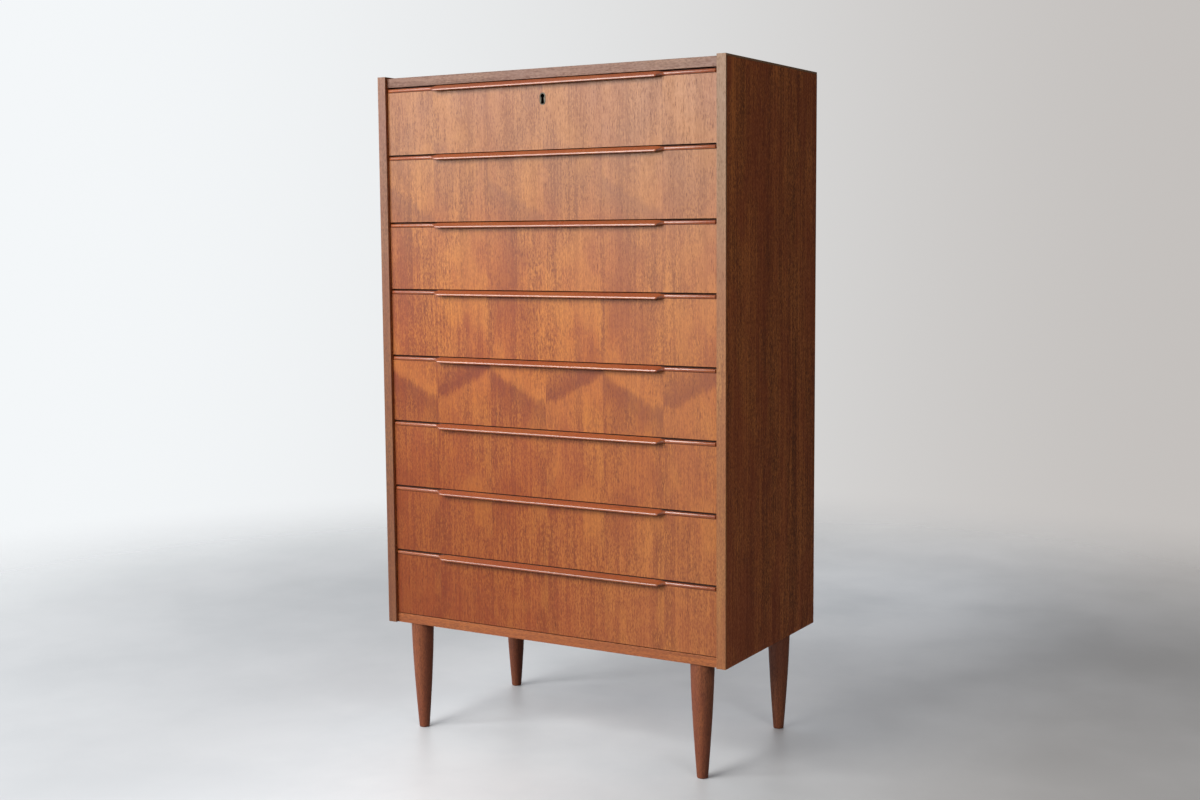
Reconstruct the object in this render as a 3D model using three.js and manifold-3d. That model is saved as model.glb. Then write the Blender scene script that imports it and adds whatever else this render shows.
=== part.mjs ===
// A tall chest of eight drawers on four turned legs, in millimetres, +Z up.
// Origin: on the floor, at the middle of the chest's width and depth. The drawers open towards -Y.

import * as THREE from 'three';
import { mergeVertices } from 'three/addons/utils/BufferGeometryUtils.js';
import Module from 'manifold-3d';

const wasm = await Module();
wasm.setup();

// ---------------------------------------------------------------- driving dimensions

// Case
const HEIGHT = 1300;            // floor to the tops of the side panels
const CASE_WIDTH = 755;         // over both side panels
const CASE_DEPTH = 400;         // front edge to back edge of a side panel
const PANEL = 18.3;             // thickness of the side panels
const SHELF = 18;               // thickness of the top and bottom panels
const TOP_DROP = 3;             // the side panels rise this far above the top panel
const REBATE_WIDTH = 9;         // rebate for the back, cut into the thickness of a side panel
const REBATE_DEPTH = 6;         // the same rebate, measured forward from the back edge
const BACK = 5;                 // thickness of the back panel
const GLUE_GAP = 0.3;           // left between two faces that are glued or screwed together

// Legs
const LEG_LENGTH = 217;
const LEG_TOP_RADIUS = 22.3;
const LEG_FOOT_RADIUS = 10.2;
const LEG_SWELL = 1.45;         // above 1 the taper is slightly convex
const LEG_FOOT_ROUND = 1.5;
const LEG_X = 316;              // leg axis from the middle of the chest
const LEG_INSET = 30.5;         // leg axis from the front or back edges of the side panels
const LEG_RINGS = 9;
const ROUND_SEGMENTS = 28;

// Drawers
const DRAWERS = 8;
const RECESS = 6.5;             // the fronts stand back from the front edges of the side panels
const REVEAL = 1.6;             // gap above and below each front
const SIDE_REVEAL = 1.2;        // gap between a front and a side panel
const FRONT_BOARD = 18;         // thickness of a front
const BOX_LENGTH = 350;         // length of a box side
const BOX_WALL = 12;            // thickness of the box sides and the box back
const BOX_CLEARANCE = 1.5;      // between a box side and a side panel
const BOX_FOOT = 10;            // underside of the box sides above the underside of the front
const BOX_HEIGHT = 96;
const BACK_STEP = 4;            // the box back is this much lower than the box sides
const BOTTOM = 4;               // thickness of a drawer bottom
const BOTTOM_HEIGHT = 18.3;     // underside of a drawer bottom above the underside of the front
const BOTTOM_GROOVE = 5.5;      // depth of the grooves that hold a drawer bottom
const BOTTOM_ENTRY = 5;         // how far the bottom stands in its grooves

// Runners, and the grooves in the box sides that slide on them
const RUNNER_PROUD = 7;
const RUNNER_HEIGHT = 12;
const RUNNER_LENGTH = 340;
const RUNNER_SETBACK = 3;       // behind the back face of the fronts
const GROOVE_DEPTH = 6.5;
const GROOVE_HEIGHT = 13;
const GROOVE_FOOT = 46;         // lower edge of the groove above the underside of the front

// Handle strip, glued along the top edge of each front
const STRIP_HEIGHT = 8;
const BEAD_REACH = 2.5;         // the bead at both ends stands out of the front
const BEAD_HEIGHT = 7;
const BEAD_ROUND = 2.2;
const QUIRK_DEPTH = 1.2;        // the shadow line under the bead is set back into the front
const LIP_REACH = 13;           // the lip stands out of the front
const LIP_NOSE_RADIUS = 1.9;
const LIP_NOSE_DROP = 8;        // centre of the rounded nose below the top of the strip
const LIP_COVE_RISE = 4.9;      // control point of the finger cove below the top of the strip
const LIP_HALF_WIDTH = 255.5;   // where the lip ends run out into the bead
const LIP_END_LENGTH = 16;    // length of the curved lip end

// Lock of the top drawer
const KEY_DROP = 36.2;          // middle of the escutcheon below the top of the drawer front
const ESCUTCHEON_WIDTH = 12.6;
const ESCUTCHEON_HEIGHT = 22.6;
const ESCUTCHEON_THICK = 2;
const ESCUTCHEON_PROUD = 0.3;
const KEYHOLE_HEIGHT = 16.6;
const KEYHOLE_RADIUS = 3.3;
const KEYHOLE_WAIST = 2.8;      // width of the slot where it leaves the round hole
const KEYHOLE_FOOT = 5.2;       // width of the slot at its lower end
const LOCK_WIDTH = 40;
const LOCK_THICK = 10;
const LOCK_DROP = 45;           // height of the lock case, down from the top edge of the front board
const LOCK_WALL = 2;
const LOCK_FLOOR = 6;
const BOLT_WIDTH = 16;
const BOLT_THICK = 4.4;
const BOLT_LENGTH = 25.6;
const BOLT_REST = 0.8;          // top of the drawn bolt below the top of the handle strip
const BOLT_PLAY = 0.6;          // clearance round the bolt in its slots
const STRIKE_DEPTH = 10;        // mortise for the bolt in the top panel

// ---------------------------------------------------------------- places worked out from them

const depth = CASE_DEPTH + LIP_REACH - RECESS;
const noseY = -depth / 2;
const backY = depth / 2;
const frontFaceY = noseY + LIP_REACH;
const sideFrontY = frontFaceY - RECESS;
const boardBackY = frontFaceY + FRONT_BOARD;
const shelfBackY = backY - REBATE_DEPTH;
const innerX = CASE_WIDTH / 2 - PANEL;
const topFaceZ = HEIGHT - TOP_DROP;
const ceilingZ = topFaceZ - SHELF;
const floorZ = LEG_LENGTH + SHELF;
const frontHeight = (ceilingZ - floorZ - (DRAWERS + 1) * REVEAL) / DRAWERS;
const frontHalfWidth = innerX - SIDE_REVEAL;
const boardHeight = frontHeight - STRIP_HEIGHT - GLUE_GAP;
const boxX = innerX - BOX_CLEARANCE;
const boxInnerX = boxX - BOX_WALL;
const boxFrontY = boardBackY + GLUE_GAP;
const boxBackY = boxFrontY + BOX_LENGTH;
const bottomTopZ = BOTTOM_HEIGHT + BOTTOM;
const lockY = boardBackY - LOCK_THICK / 2;
const keyZ = frontHeight - KEY_DROP;

/** Underside of drawer front number `index`, counted from 0 at the top. */
const drawerZ = (index) => ceilingZ - (index + 1) * (REVEAL + frontHeight);

// ---------------------------------------------------------------- finishes

const finish = (color, roughness, metalness = 0) =>
  new THREE.MeshStandardMaterial({ color, roughness, metalness });

const teakVeneer = finish(0xb4764f, 0.45);
const teakSide = finish(0x8a5030, 0.45);
const teakSolid = finish(0xa85c36, 0.38);
const teakLeg = finish(0x96553a, 0.42);
const beech = finish(0xcfa97e, 0.6);
const plywood = finish(0xc8a57a, 0.7);
const nickel = finish(0xa9a79c, 0.35, 1);
const steel = finish(0x8b8d8f, 0.4, 1);

// ---------------------------------------------------------------- solids

/** A block between two corners. */
function block([x0, y0, z0], [x1, y1, z1]) {
  const geometry = new THREE.BoxGeometry(x1 - x0, y1 - y0, z1 - z0);
  return geometry.translate((x0 + x1) / 2, (y0 + y1) / 2, (z0 + z1) / 2);
}

/** A closed outline from its corner points. */
const outline = (points) => new THREE.Shape(points.map(([a, b]) => new THREE.Vector2(a, b)));

/** An outline drawn in x and y, extruded along z from low to high. */
function uprightPrism(shape, low, high) {
  const geometry = new THREE.ExtrudeGeometry(shape, { depth: high - low, bevelEnabled: false });
  return geometry.translate(0, 0, low);
}

/** An outline drawn in y and z, extruded along x from low to high. */
function crossPrism(shape, low, high) {
  const cycle = new THREE.Matrix4().set(0, 0, 1, 0, 1, 0, 0, 0, 0, 1, 0, 0, 0, 0, 0, 1);
  return uprightPrism(shape, low, high).applyMatrix4(cycle);
}

/** An outline drawn in x and z, extruded along y from low to high. */
function deepPrism(shape, low, high) {
  return uprightPrism(shape, -high, -low).rotateX(Math.PI / 2);
}

/** A closed geometry as a solid that can be cut and joined. */
function solid(geometry) {
  const bare = geometry.clone();
  bare.deleteAttribute('normal');
  bare.deleteAttribute('uv');
  const merged = mergeVertices(bare, 1e-4);
  const mesh = new wasm.Mesh({
    numProp: 3,
    vertProperties: new Float32Array(merged.attributes.position.array),
    triVerts: new Uint32Array(merged.index.array),
  });
  return new wasm.Manifold(mesh);
}

/** The geometry of a solid. */
function geometryOf(manifold) {
  const mesh = manifold.getMesh();
  const geometry = new THREE.BufferGeometry();
  geometry.setAttribute('position', new THREE.BufferAttribute(mesh.vertProperties, 3));
  geometry.setIndex(new THREE.BufferAttribute(mesh.triVerts, 1));
  geometry.computeVertexNormals();
  return geometry;
}

const cut = (base, ...tools) =>
  geometryOf(tools.reduce((left, tool) => left.subtract(solid(tool)), solid(base)));

const join = (...bases) =>
  geometryOf(bases.slice(1).reduce((sum, base) => sum.add(solid(base)), solid(bases[0])));

const overlap = (first, second) => geometryOf(solid(first).intersect(solid(second)));

/** Adds one named piece to a group. */
function addPiece(group, name, geometry, material) {
  const mesh = new THREE.Mesh(geometry, material);
  mesh.name = name;
  group.add(mesh);
  return mesh;
}

// ---------------------------------------------------------------- case

/** A side panel, drawn in plan: a board with a rebate along its inner back edge. */
function sidePanel(hand) {
  const outerX = CASE_WIDTH / 2;
  const points = [
    [outerX, sideFrontY],
    [outerX, backY],
    [innerX + REBATE_WIDTH, backY],
    [innerX + REBATE_WIDTH, shelfBackY],
    [innerX, shelfBackY],
    [innerX, sideFrontY],
  ];
  const plan = outline(points.map(([x, y]) => [hand * x, y]));
  return uprightPrism(plan, LEG_LENGTH, HEIGHT);
}

/** A board across the case, between the side panels. */
function shelf(low) {
  const endX = innerX - GLUE_GAP;
  return block([-endX, frontFaceY, low], [endX, shelfBackY, low + SHELF]);
}

/** The mortise in the top panel that the lock bolt rises into. */
function strikeMortise() {
  const x = BOLT_WIDTH / 2 + BOLT_PLAY;
  const y = BOLT_THICK / 2 + BOLT_PLAY;
  return block([-x, lockY - y, ceilingZ - 1], [x, lockY + y, ceilingZ + STRIKE_DEPTH]);
}

function backPanel() {
  const x = innerX + REBATE_WIDTH - GLUE_GAP;
  const y = shelfBackY + GLUE_GAP;
  return block([-x, y, LEG_LENGTH], [x, y + BACK, topFaceZ]);
}

/** A turned leg: a convex taper from the top down to a foot with a rounded edge. */
function leg() {
  const radiusAt = (share) =>
    LEG_FOOT_RADIUS + (LEG_TOP_RADIUS - LEG_FOOT_RADIUS) * (1 - (1 - share) ** LEG_SWELL);
  const top = LEG_LENGTH - GLUE_GAP;
  const profile = [new THREE.Vector2(0, 0), new THREE.Vector2(LEG_FOOT_RADIUS - LEG_FOOT_ROUND, 0)];
  for (let ring = 0; ring <= LEG_RINGS; ring += 1) {
    const height = LEG_FOOT_ROUND + ((top - LEG_FOOT_ROUND) * ring) / LEG_RINGS;
    profile.push(new THREE.Vector2(radiusAt(height / LEG_LENGTH), height));
  }
  profile.push(new THREE.Vector2(0, top));
  return new THREE.LatheGeometry(profile, ROUND_SEGMENTS).rotateX(Math.PI / 2);
}

/** A runner on one side of the case, for a drawer whose underside is at z = 0. */
function runner(hand) {
  const outer = innerX - GLUE_GAP;
  const inner = innerX - RUNNER_PROUD;
  const low = GROOVE_FOOT + GROOVE_HEIGHT - GLUE_GAP - RUNNER_HEIGHT;
  const front = boardBackY + RUNNER_SETBACK;
  const x0 = hand > 0 ? inner : -outer;
  return block([x0, front, low], [x0 + outer - inner, front + RUNNER_LENGTH, low + RUNNER_HEIGHT]);
}

// ---------------------------------------------------------------- handle strip

/** Section of the strip where it is a plain bead: y is behind the front face, z below the top. */
function beadSection() {
  const face = frontFaceY - BEAD_REACH;
  const shape = new THREE.Shape();
  shape.moveTo(boardBackY, 0);
  shape.lineTo(boardBackY, -STRIP_HEIGHT);
  shape.lineTo(frontFaceY + QUIRK_DEPTH, -STRIP_HEIGHT);
  shape.lineTo(frontFaceY + QUIRK_DEPTH, -BEAD_HEIGHT);
  shape.lineTo(face + BEAD_ROUND, -BEAD_HEIGHT);
  shape.quadraticCurveTo(face, -BEAD_HEIGHT, face, -BEAD_HEIGHT / 2);
  shape.quadraticCurveTo(face, 0, face + BEAD_ROUND, 0);
  return shape;
}

/** Section of the lip: a top that falls forward to a rounded nose, with a finger cove under it. */
function lipSection() {
  const noseCentreY = noseY + LIP_NOSE_RADIUS;
  const shoulder = (60 * Math.PI) / 180;
  const shape = new THREE.Shape();
  shape.moveTo(frontFaceY + 2 * QUIRK_DEPTH, 0);
  shape.lineTo(frontFaceY - BEAD_REACH / 2, 0);
  shape.absarc(noseCentreY, -LIP_NOSE_DROP, LIP_NOSE_RADIUS, Math.PI - shoulder, 1.4 * Math.PI, false);
  shape.quadraticCurveTo(
    frontFaceY - LIP_REACH / 2, -LIP_COVE_RISE, frontFaceY + QUIRK_DEPTH, -BEAD_HEIGHT);
  shape.lineTo(frontFaceY + 2 * QUIRK_DEPTH, -BEAD_HEIGHT);
  return shape;
}

/** Plan of the lip: full reach in the middle, both ends curving back into the bead. */
function lipPlan() {
  const rear = frontFaceY + 3 * QUIRK_DEPTH;
  const full = LIP_HALF_WIDTH - LIP_END_LENGTH;
  const bend = LIP_HALF_WIDTH - LIP_END_LENGTH * 0.45;
  const shape = new THREE.Shape();
  shape.moveTo(-LIP_HALF_WIDTH, rear);
  shape.lineTo(-LIP_HALF_WIDTH, frontFaceY - BEAD_REACH / 2);
  shape.bezierCurveTo(
    -bend, frontFaceY - BEAD_REACH / 2, -bend, noseY - 0.5, -full, noseY - 0.5);
  shape.lineTo(full, noseY - 0.5);
  shape.bezierCurveTo(
    bend, noseY - 0.5, bend, frontFaceY - BEAD_REACH / 2, LIP_HALF_WIDTH, frontFaceY - BEAD_REACH / 2);
  shape.lineTo(LIP_HALF_WIDTH, rear);
  return shape;
}

/** The whole strip, with its top at the top of a drawer front whose underside is at z = 0. */
function handleStrip() {
  const bead = crossPrism(beadSection(), -frontHalfWidth, frontHalfWidth);
  const lipRun = crossPrism(lipSection(), -LIP_HALF_WIDTH, LIP_HALF_WIDTH);
  const lip = overlap(lipRun, uprightPrism(lipPlan(), -2 * STRIP_HEIGHT, STRIP_HEIGHT));
  return join(bead, lip).translate(0, 0, frontHeight);
}

// ---------------------------------------------------------------- drawers, underside of the front at z = 0

/** The front board, with the groove for the drawer bottom across its back face. */
function frontBoard() {
  const grooveTop = bottomTopZ + GLUE_GAP;
  const grooveFoot = BOTTOM_HEIGHT - GLUE_GAP;
  const section = outline([
    [frontFaceY, 0],
    [boardBackY, 0],
    [boardBackY, grooveFoot],
    [boardBackY - BOTTOM_GROOVE, grooveFoot],
    [boardBackY - BOTTOM_GROOVE, grooveTop],
    [boardBackY, grooveTop],
    [boardBackY, boardHeight],
    [frontFaceY, boardHeight],
  ]);
  return crossPrism(section, -frontHalfWidth, frontHalfWidth);
}

/** A box side, drawn in section: runner groove outside, bottom groove inside. */
function boxSide(hand) {
  const top = BOX_FOOT + BOX_HEIGHT;
  const points = [
    [boxX, BOX_FOOT],
    [boxX, GROOVE_FOOT],
    [boxX - GROOVE_DEPTH, GROOVE_FOOT],
    [boxX - GROOVE_DEPTH, GROOVE_FOOT + GROOVE_HEIGHT],
    [boxX, GROOVE_FOOT + GROOVE_HEIGHT],
    [boxX, top],
    [boxInnerX, top],
    [boxInnerX, bottomTopZ + GLUE_GAP],
    [boxInnerX + BOTTOM_GROOVE, bottomTopZ + GLUE_GAP],
    [boxInnerX + BOTTOM_GROOVE, BOTTOM_HEIGHT - GLUE_GAP],
    [boxInnerX, BOTTOM_HEIGHT - GLUE_GAP],
    [boxInnerX, BOX_FOOT],
  ];
  return deepPrism(outline(points.map(([x, z]) => [hand * x, z])), boxFrontY, boxBackY);
}

/** Both box sides and the box back, glued together. The bottom passes under the back. */
function drawerBox() {
  const tenonX = boxInnerX + BOX_WALL / 4;
  const low = bottomTopZ + GLUE_GAP;
  const high = BOX_FOOT + BOX_HEIGHT - BACK_STEP;
  const back = block([-tenonX, boxBackY - BOX_WALL, low], [tenonX, boxBackY, high]);
  return join(boxSide(-1), back, boxSide(1));
}

function drawerBottom() {
  const x = boxInnerX + BOTTOM_ENTRY;
  return block([-x, boardBackY - BOTTOM_ENTRY, BOTTOM_HEIGHT], [x, boxBackY, bottomTopZ]);
}

// ---------------------------------------------------------------- lock of the top drawer

/** A keyhole with its middle at x = 0, z = keyZ; grow widens it all round. */
function keyholeShape(grow, PathType = THREE.Shape) {
  const radius = KEYHOLE_RADIUS + grow;
  const centre = keyZ + KEYHOLE_HEIGHT / 2 - KEYHOLE_RADIUS;
  const foot = keyZ - KEYHOLE_HEIGHT / 2 - grow;
  const waist = KEYHOLE_WAIST / 2 + grow;
  const half = KEYHOLE_FOOT / 2 + grow;
  const opening = Math.asin(waist / radius);
  const shape = new PathType();
  shape.moveTo(-half, foot);
  shape.lineTo(half, foot);
  shape.absarc(0, centre, radius, opening - Math.PI / 2, 1.5 * Math.PI - opening, false);
  return shape;
}

/** The upright oval of the escutcheon; grow widens it all round. */
function escutcheonShape(grow) {
  const radius = ESCUTCHEON_WIDTH / 2 + grow;
  const reach = ESCUTCHEON_HEIGHT / 2 - ESCUTCHEON_WIDTH / 2;
  const shape = new THREE.Shape();
  shape.absarc(0, keyZ + reach, radius, 0, Math.PI, false);
  shape.absarc(0, keyZ - reach, radius, Math.PI, 2 * Math.PI, false);
  return shape;
}

function escutcheon() {
  const shape = escutcheonShape(0);
  shape.holes.push(keyholeShape(0, THREE.Path));
  const front = frontFaceY - ESCUTCHEON_PROUD;
  return deepPrism(shape, front, front + ESCUTCHEON_THICK);
}

/** The lock case: a metal box, open at the top for the bolt and in front for the key. */
function lockCase() {
  const low = boardHeight - LOCK_DROP;
  const caseBox = block(
    [-LOCK_WIDTH / 2, boardBackY - LOCK_THICK, low],
    [LOCK_WIDTH / 2, boardBackY, boardHeight]);
  const cavityX = BOLT_WIDTH / 2 + 1;
  const cavity = block(
    [-cavityX, boardBackY - LOCK_THICK + LOCK_WALL, low + LOCK_FLOOR],
    [cavityX, boardBackY - LOCK_WALL, boardHeight + 1]);
  const keyway = deepPrism(keyholeShape(0), boardBackY - LOCK_THICK - 1, lockY);
  return cut(caseBox, cavity, keyway);
}

/** The bolt, drawn: its top stands just below the top of the handle strip. */
function lockBolt() {
  const top = frontHeight - BOLT_REST;
  return block(
    [-BOLT_WIDTH / 2, lockY - BOLT_THICK / 2, top - BOLT_LENGTH],
    [BOLT_WIDTH / 2, lockY + BOLT_THICK / 2, top]);
}

/** The top drawer's front board, with places for the lock case, the escutcheon and the key. */
function lockedFrontBoard() {
  const x = LOCK_WIDTH / 2 + GLUE_GAP;
  const lockPocket = block(
    [-x, boardBackY - LOCK_THICK - GLUE_GAP, boardHeight - LOCK_DROP - GLUE_GAP],
    [x, boardBackY + 1, boardHeight + 1]);
  const seatY = frontFaceY + ESCUTCHEON_THICK - ESCUTCHEON_PROUD + GLUE_GAP;
  const seat = deepPrism(escutcheonShape(GLUE_GAP), frontFaceY - 1, seatY);
  const keyway = deepPrism(keyholeShape(GLUE_GAP), frontFaceY - 1, lockY);
  return cut(frontBoard(), lockPocket, seat, keyway);
}

/** The top drawer's handle strip, with a slot for the bolt. */
function lockedHandleStrip() {
  const x = BOLT_WIDTH / 2 + BOLT_PLAY;
  const y = BOLT_THICK / 2 + BOLT_PLAY;
  const slot = block([-x, lockY - y, boardHeight - 1], [x, lockY + y, frontHeight + 1]);
  return cut(handleStrip(), slot);
}

// ---------------------------------------------------------------- assembly

const chest = new THREE.Group();

addPiece(chest, 'side_panel_left', sidePanel(-1), teakSide);
addPiece(chest, 'side_panel_right', sidePanel(1), teakSide);
addPiece(chest, 'top_panel', cut(shelf(ceilingZ), strikeMortise()), teakSide);
addPiece(chest, 'bottom_panel', shelf(LEG_LENGTH), teakSide);
addPiece(chest, 'back_panel', backPanel(), plywood);

const legGeometry = leg();
const rows = [['front', sideFrontY + LEG_INSET], ['rear', backY - LEG_INSET]];
const hands = [['left', -1], ['right', 1]];
for (const [row, y] of rows) {
  for (const [side, hand] of hands) {
    addPiece(chest, `leg_${row}_${side}`, legGeometry, teakLeg).position.set(hand * LEG_X, y, 0);
  }
}

for (let index = 0; index < DRAWERS; index += 1) {
  const locked = index === 0;
  const name = `drawer_${index + 1}`;
  const drawer = new THREE.Group();
  drawer.position.z = drawerZ(index);
  for (const [side, hand] of hands) {
    addPiece(drawer, `runner_${index + 1}_${side}`, runner(hand), beech);
  }
  addPiece(drawer, `${name}_front`, locked ? lockedFrontBoard() : frontBoard(), teakVeneer);
  addPiece(drawer, `${name}_handle`, locked ? lockedHandleStrip() : handleStrip(), teakSolid);
  addPiece(drawer, `${name}_box`, drawerBox(), beech);
  addPiece(drawer, `${name}_bottom`, drawerBottom(), plywood);
  if (locked) {
    addPiece(drawer, 'lock_case', lockCase(), steel);
    addPiece(drawer, 'lock_bolt', lockBolt(), steel);
    addPiece(drawer, 'keyhole_escutcheon', escutcheon(), nickel);
  }
  chest.add(drawer);
}

export default chest;
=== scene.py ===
"""A tall chest of eight teak drawers on turned legs: finished timber, drawer joints, lock and runners.

Metres, +Z up, in the frame of the CAD model. The drawers open towards -Y.
"""

import math

import bpy
import numpy as np
from mathutils import Matrix, Vector


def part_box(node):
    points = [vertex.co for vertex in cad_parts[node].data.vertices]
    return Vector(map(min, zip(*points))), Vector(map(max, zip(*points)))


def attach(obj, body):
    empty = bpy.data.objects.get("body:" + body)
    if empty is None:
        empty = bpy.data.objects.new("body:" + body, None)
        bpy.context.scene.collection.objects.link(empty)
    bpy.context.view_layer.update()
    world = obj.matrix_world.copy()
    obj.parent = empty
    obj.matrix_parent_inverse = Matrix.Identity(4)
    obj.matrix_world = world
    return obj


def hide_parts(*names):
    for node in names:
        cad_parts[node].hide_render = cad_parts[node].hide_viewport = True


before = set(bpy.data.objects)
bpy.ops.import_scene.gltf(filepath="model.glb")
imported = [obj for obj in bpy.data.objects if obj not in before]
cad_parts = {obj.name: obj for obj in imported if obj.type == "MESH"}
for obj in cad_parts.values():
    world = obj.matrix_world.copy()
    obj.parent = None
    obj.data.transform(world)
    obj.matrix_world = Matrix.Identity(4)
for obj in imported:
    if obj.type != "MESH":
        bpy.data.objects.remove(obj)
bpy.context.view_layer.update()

# -------------------------------------------------------- sizes that the frame doesn't give, in metres

MM = 0.001
LIPPING = 4 * MM              # solid edging on the front and top edges of the case boards
LIPPING_ARRIS = 0.5 * MM
BOARD_ARRIS = 0.2 * MM        # corners that meet another board

BEAD_REACH = 2.5 * MM         # handle strip: bead in front of the drawer front
BEAD_HEIGHT = 8.7 * MM        # down to its lower edge, with the set-back above it
BEAD_END = 1.8 * MM           # rounding of the bead's two ends
BEAD_QUIRK = 1.8 * MM         # set-back above the bead and at its ends
QUIRK_DEPTH = 1.2 * MM        # depth of the shadow line below the bead
RECESS_DEPTH = 6 * MM         # depth of the set-backs above the bead and at its ends
LIP_REACH = 13 * MM
LIP_HALF_WIDTH = 255.5 * MM
LIP_END = 16 * MM             # length of the curved end of a lip
LIP_SLOPE = math.radians(30)
COVE_RISE = 4.9 * MM          # top of the finger cove below the top of the strip

GROOVE_DEPTH = 6.5 * MM       # runner groove in a box side
GROOVE_PLAY = 0.5 * MM        # groove edge below the runner
BOX_WALL = 12 * MM
BACK_STEP = 4 * MM            # top of the box back below the tops of the sides
PLY_GROOVE = 5.5 * MM         # groove for the drawer bottom
PLAY = 0.3 * MM               # clearance between a part and the groove, rebate or pocket it sits in
FINGER = 11.4 * MM            # height of one finger of the corner joints

LEAF = 125 * MM               # width of one leaf of the book-matched veneer
# Drawers with a zigzag figure: number, depth of the two ends of its edge below the drawer's top, its
# strength on even leaves, and how far its dark and its light side change the veneer
FIGURES = (5, 0.021, 0.084, 1.0, 0.6, 0.36), (2, 0.05, 0.12, 0.2, 0.5, 0.1)


# ------------------------------------------------------------------------------------------ node trees

class Graph:
    """Short calls that add linked nodes to one tree. A value, a colour or an output may feed any input."""

    def __init__(self, tree):
        self.tree = tree

    def add(self, kind, inputs=(), **settings):
        node = self.tree.nodes.new(kind)
        for key, value in settings.items():
            setattr(node, key, value)
        for key, value in dict(inputs).items():
            self.feed(value, node.inputs[key])
        return node

    def feed(self, source, socket):
        if isinstance(source, bpy.types.NodeSocket):
            self.tree.links.new(source, socket)
        else:
            socket.default_value = source

    def math(self, operation, first, second=0.0, clamp=False):
        inputs = {0: first, 1: second}
        return self.add("ShaderNodeMath", inputs, operation=operation, use_clamp=clamp).outputs[0]

    def plus(self, first, second):
        return self.math("ADD", first, second)

    def minus(self, first, second):
        return self.math("SUBTRACT", first, second)

    def times(self, first, second):
        return self.math("MULTIPLY", first, second)

    def step(self, value, low, high, to_low=0.0, to_high=1.0):
        """Value taken smoothly from the span low..high to the span to_low..to_high."""
        inputs = {0: value, 1: low, 2: high, 3: to_low, 4: to_high}
        node = self.add("ShaderNodeMapRange", inputs, interpolation_type="SMOOTHSTEP")
        return node.outputs[0]

    def mix(self, share, first, second, blend="MIX"):
        inputs = {0: share, 6: first, 7: second}
        return self.add("ShaderNodeMix", inputs, data_type="RGBA", blend_type=blend).outputs[2]

    def noise(self, vector, scale=1.0, detail=2.0, rough=0.5, seed=0.0, stretch=(1, 1, 1)):
        """Noise about 0.5, with its vector first stretched along each axis."""
        if stretch != (1, 1, 1):
            vector = self.vector("MULTIPLY", vector, stretch)
        inputs = {"Vector": vector, "W": seed, "Scale": scale, "Detail": detail, "Roughness": rough}
        return self.add("ShaderNodeTexNoise", inputs, noise_dimensions="4D").outputs[0]

    def vector(self, operation, first, second):
        return self.add("ShaderNodeVectorMath", {0: first, 1: second}, operation=operation).outputs[0]

    def parts(self, vector):
        return self.add("ShaderNodeSeparateXYZ", {0: vector}).outputs

    def joined(self, x, y, z):
        return self.add("ShaderNodeCombineXYZ", {0: x, 1: y, 2: z}).outputs[0]

    def bump(self, height, distance, strength=1.0, normal=None):
        inputs = {"Height": height, "Distance": distance, "Strength": strength}
        if normal is not None:
            inputs["Normal"] = normal
        return self.add("ShaderNodeBump", inputs).outputs[0]

    def group(self, tree, inputs):
        node = self.add("ShaderNodeGroup", node_tree=tree)
        for key, value in inputs.items():
            self.feed(value, node.inputs[key])
        return node.outputs


def new_group(name, inputs, outputs):
    """An empty shader group. Inputs and outputs are lists of (name, kind, default)."""
    tree = bpy.data.node_groups.new(name, "ShaderNodeTree")
    for title, kind, default in inputs:
        socket = tree.interface.new_socket(title, in_out="INPUT", socket_type="NodeSocket" + kind)
        if default is not None:
            socket.default_value = default
    for title, kind in outputs:
        tree.interface.new_socket(title, in_out="OUTPUT", socket_type="NodeSocket" + kind)
    graph = Graph(tree)
    return tree, graph, graph.add("NodeGroupInput").outputs, graph.add("NodeGroupOutput").inputs


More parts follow.
